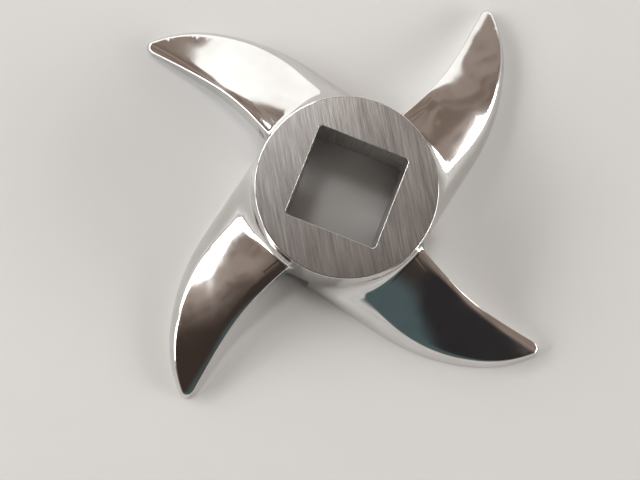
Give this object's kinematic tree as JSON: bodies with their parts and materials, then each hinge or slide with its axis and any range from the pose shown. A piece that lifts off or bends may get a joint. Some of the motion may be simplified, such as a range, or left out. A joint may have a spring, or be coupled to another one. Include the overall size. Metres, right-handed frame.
{
  "type": "meat grinder knife",
  "caption": "Star-shaped meat grinder knife: swept, polished arms with hollow leading edges on a drafted hub, driven by a square hole and cutting against the grinder plate.",
  "frame": {"origin": "on the knife axis, in the cutting plane that lies on the grinder plate", "axes": "+Z along the knife axis from the cutting plane to the hub face; X and Y square to the flats of the drive hole"},
  "size_m": [0.0778, 0.0778, 0.0121],
  "materials": {
    "polished_stainless": "mirror-polished cast stainless steel on arms and hub wall, with a straight-ground hub face and ground cutting lands"
  },
  "bodies": {
    "root": {"knife": "polished_stainless"}
  },
  "joints": []
}
